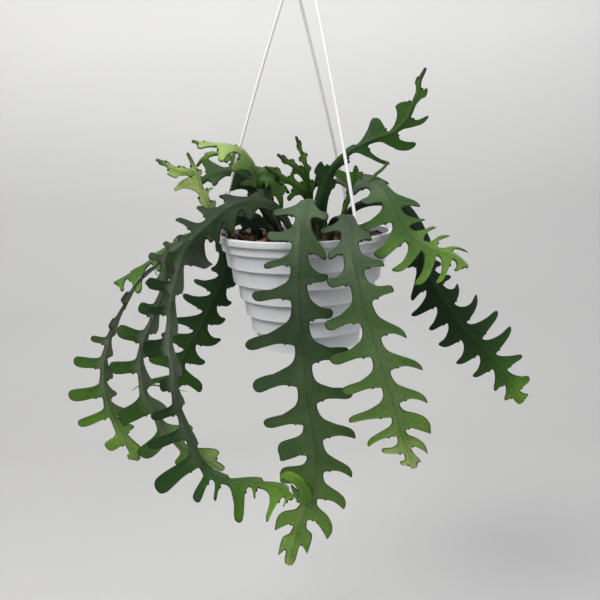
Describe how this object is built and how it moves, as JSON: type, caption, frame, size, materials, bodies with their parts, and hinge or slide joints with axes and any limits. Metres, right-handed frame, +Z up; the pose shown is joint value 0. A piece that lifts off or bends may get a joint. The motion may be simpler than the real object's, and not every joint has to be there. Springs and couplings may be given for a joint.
{
  "type": "potted ric rac cactus",
  "caption": "Ric rac cactus with flat zig-zag lobed stems trailing over a white stepped hanging pot of bark mix, on thin strands that meet in a hook.",
  "frame": {"origin": "the seat inside the hook's crook, where the hanger rests on what holds it up; the pot hangs straight below", "axes": "+Z up, the front of the plant looks along -Y, +X to the right as seen from the front"},
  "size_m": [0.4499, 0.2248, 0.5818],
  "materials": {
    "pot_plastic": "satin white moulded plastic",
    "hanger_plastic": "white moulded plastic",
    "bark_mix": "coarse bark chips and dark peat",
    "stem_flesh": "smooth waxy green flesh, young ends yellow-green"
  },
  "bodies": {
    "root": {"pot": "pot_plastic", "soil": "bark_mix", "hanger_hook": "hanger_plastic", "strand_left": "hanger_plastic", "strand_front_right": "hanger_plastic", "strand_back_right": "hanger_plastic", "stem_front": "stem_flesh", "stem_right_front": "stem_flesh", "stem_right_upper": "stem_flesh", "stem_right_lower": "stem_flesh", "stem_left_face": "stem_flesh", "stem_left_inner": "stem_flesh", "stem_left_middle": "stem_flesh", "stem_left_outer": "stem_flesh", "stem_left_back": "stem_flesh", "stem_arch_pale": "stem_flesh", "stem_arch_dark": "stem_flesh", "stem_arch_thin": "stem_flesh", "stem_centre": "stem_flesh", "stem_right_tall": "stem_flesh", "stem_right_tee": "stem_flesh"}
  },
  "joints": []
}
